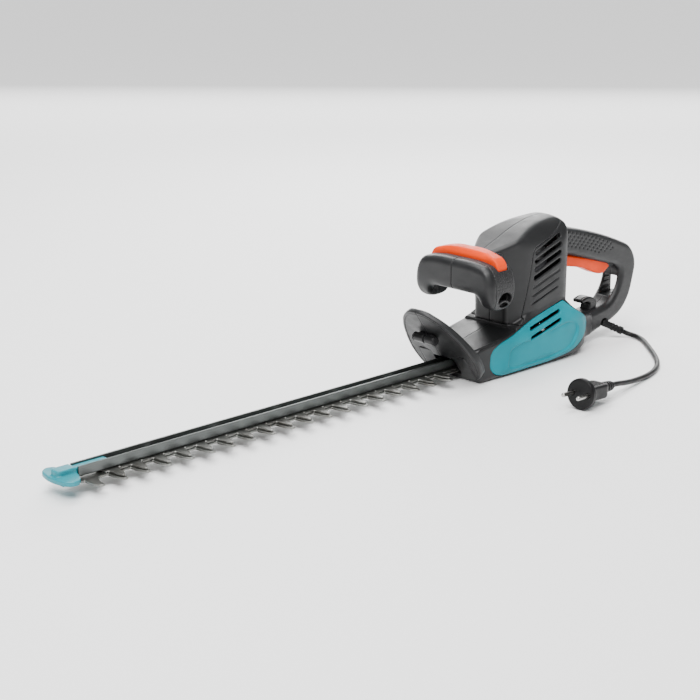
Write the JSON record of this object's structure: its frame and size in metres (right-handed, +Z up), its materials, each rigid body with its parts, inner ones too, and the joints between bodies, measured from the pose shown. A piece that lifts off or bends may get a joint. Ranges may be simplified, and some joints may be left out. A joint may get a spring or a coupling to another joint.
{
  "type": "hedge trimmer",
  "caption": "Corded hedge trimmer with a double-sided reciprocating blade, hand guard, wraparound front handle with a switch bar, closed rear handle with a trigger, and a short lead.",
  "frame": {"origin": "on the flat underside of the gearbox cover, in the seam plane", "axes": "+X from the blade tip to the rear handle, +Z up, -Y the side of the cord"},
  "size_m": [0.8609, 0.25, 0.1719],
  "materials": {
    "charcoal_plastic": "satin moulded, charcoal grey",
    "soft_grip": "soft grip overmould, finely pitted",
    "turquoise_plastic": "satin moulded, turquoise",
    "orange_plastic": "satin moulded, orange",
    "black_plastic": "moulded, black",
    "cord_rubber": "flexible rubber",
    "blade_steel": "ground tool steel",
    "bar_steel": "zinc phosphated steel channel",
    "bolt_steel": "bright zinc plated",
    "screw_steel": "black oxide",
    "gear_metal": "sintered steel, oiled",
    "gearbox_aluminium": "die cast",
    "lamination_steel": "stacked laminations",
    "winding_copper": "enamelled copper on a steel core",
    "pin_metal": "nickel plated",
    "carbon": "carbon"
  },
  "bodies": {
    "root": {"housing_left": "charcoal_plastic", "housing_right": "charcoal_plastic", "hood_left": "charcoal_plastic", "hood_right": "charcoal_plastic", "side_panel_left": "turquoise_plastic", "side_panel_right": "turquoise_plastic", "base_cover": "black_plastic", "base_screw_1": "screw_steel", "base_screw_2": "screw_steel", "comb_blade": "blade_steel", "blade_channel": "bar_steel", "tip_guard": "turquoise_plastic", "hand_guard": "charcoal_plastic", "guard_clip": "black_plastic", "front_handle_left": "charcoal_plastic", "front_handle_right": "charcoal_plastic", "front_handle_back": "soft_grip", "front_switch": "black_plastic", "bar_spring": "bolt_steel", "trigger_spring": "bolt_steel", "trigger_pin": "bolt_steel", "rear_switch": "black_plastic", "cord_hook": "black_plastic", "strain_relief": "cord_rubber", "cord_clamp": "black_plastic", "power_cord": "cord_rubber", "plug_body": "cord_rubber", "plug_pin_1": "pin_metal", "plug_pin_2": "pin_metal", "gear_axle": "bolt_steel", "blade_plate": "gearbox_aluminium", "gear_cover": "gearbox_aluminium", "front_bearing": "bolt_steel", "stator": "lamination_steel", "brush_ring": "black_plastic", "brush_1": "carbon", "brush_2": "carbon", "rear_bearing": "bolt_steel", "blade_bolt_1": "bolt_steel", "blade_bolt_2": "bolt_steel", "blade_bolt_3": "bolt_steel", "blade_bolt_4": "bolt_steel", "blade_bolt_5": "bolt_steel", "blade_bolt_6": "bolt_steel", "housing_screw_1": "screw_steel", "housing_screw_2": "screw_steel", "housing_screw_3": "screw_steel", "housing_screw_4": "screw_steel", "housing_screw_5": "screw_steel", "housing_screw_6": "screw_steel", "housing_screw_7": "screw_steel"},
    "cutter": {"cutter_blade": "blade_steel"},
    "rotor": {"motor_shaft": "bolt_steel", "armature_core": "winding_copper", "commutator": "winding_copper", "cooling_fan": "black_plastic"},
    "gear": {"drive_gear": "gear_metal"},
    "bar": {"switch_bar": "orange_plastic"},
    "trigger": {"trigger": "orange_plastic"}
  },
  "joints": [
    {"name": "blade_slide", "type": "slide", "parent": "root", "child": "cutter", "axis": [1, 0, 0], "range_m": [-0.026, 0]},
    {"name": "rotor_spin", "type": "hinge", "parent": "root", "child": "rotor", "pos_m": [0.058, 0, 0.08], "axis": [0, 0, 1], "continuous": true},
    {"name": "gear_spin", "type": "hinge", "parent": "root", "child": "gear", "pos_m": [0.023, 0, 0.024], "axis": [0, 0, 1], "continuous": true},
    {"name": "bar_press", "type": "slide", "parent": "root", "child": "bar", "axis": [0, 0, -1], "range_m": [0, 0.004], "stiffness_N_per_m": 400, "springref_m": -0.005, "deforming": ["bar_spring"]},
    {"name": "trigger_pull", "type": "hinge", "parent": "root", "child": "trigger", "pos_m": [0.121, 0, 0.113], "axis": [0, -1, 0], "range_deg": [0, 5], "stiffness_Nm_per_rad": 1.7, "springref_deg": -5.16, "deforming": ["trigger_spring"]}
  ],
  "couplings": [
    {"joint": "gear_spin", "follows": "rotor_spin", "ratio": -0.14754}
  ]
}
